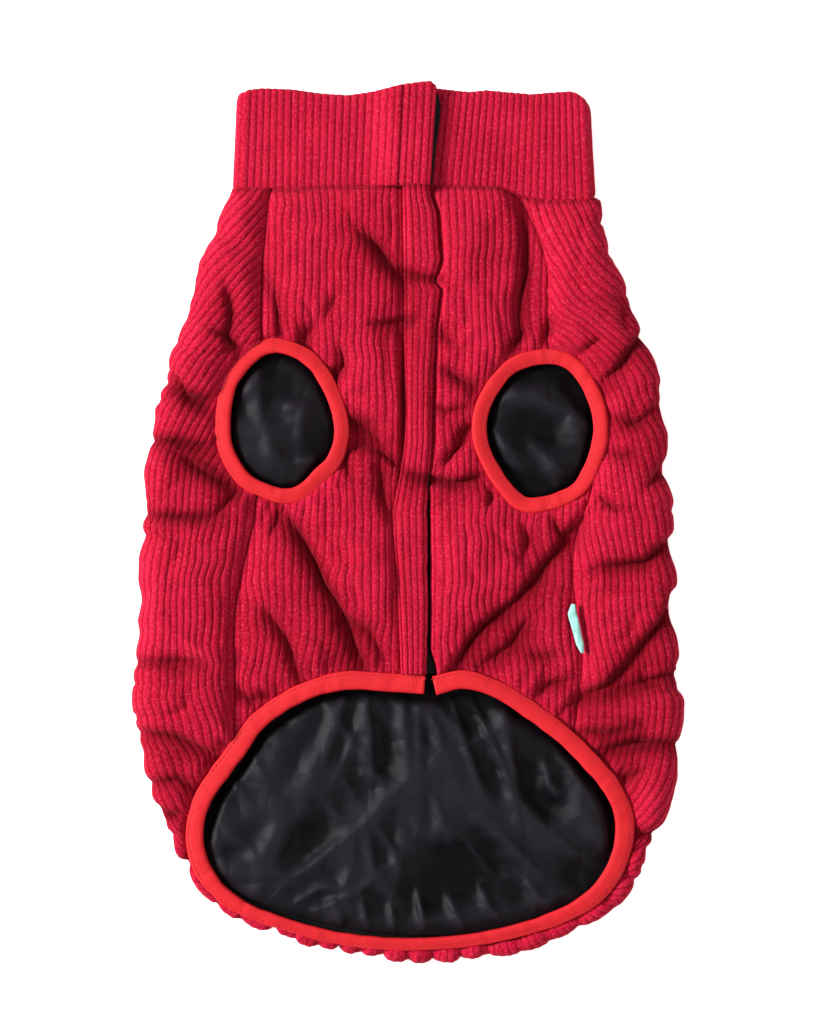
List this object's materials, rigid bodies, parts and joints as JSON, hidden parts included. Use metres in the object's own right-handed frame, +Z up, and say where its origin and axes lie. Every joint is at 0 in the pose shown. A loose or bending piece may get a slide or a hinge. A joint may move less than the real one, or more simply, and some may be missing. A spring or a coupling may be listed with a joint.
{
  "type": "dog winter coat",
  "caption": "Padded corduroy dog coat laid flat on its back, belly side up: standing collar, covered front closure, bound leg holes and a bound, lined hem opening.",
  "frame": {"origin": "centre of the coat's outline on the surface that it lies on", "axes": "+Y along the coat from the hem to the collar, +X to the right as seen from above, +Z up from the surface"},
  "size_m": [0.2738, 0.4404, 0.0199],
  "materials": {
    "corduroy": "matte wide-wale corduroy",
    "binding": "matte woven tape",
    "lining": "satin nylon",
    "hook_tape": "matte hook tape",
    "label": "satin woven ribbon"
  },
  "bodies": {
    "root": {"back_panel": "corduroy", "back_lining": "lining", "belly_left": "corduroy", "belly_right": "corduroy", "placket": "corduroy", "closure_tape": "hook_tape", "collar": "corduroy", "collar_tape": "hook_tape", "leg_binding_left": "binding", "leg_binding_right": "binding", "hem_binding": "binding", "side_label": "label"}
  },
  "joints": []
}
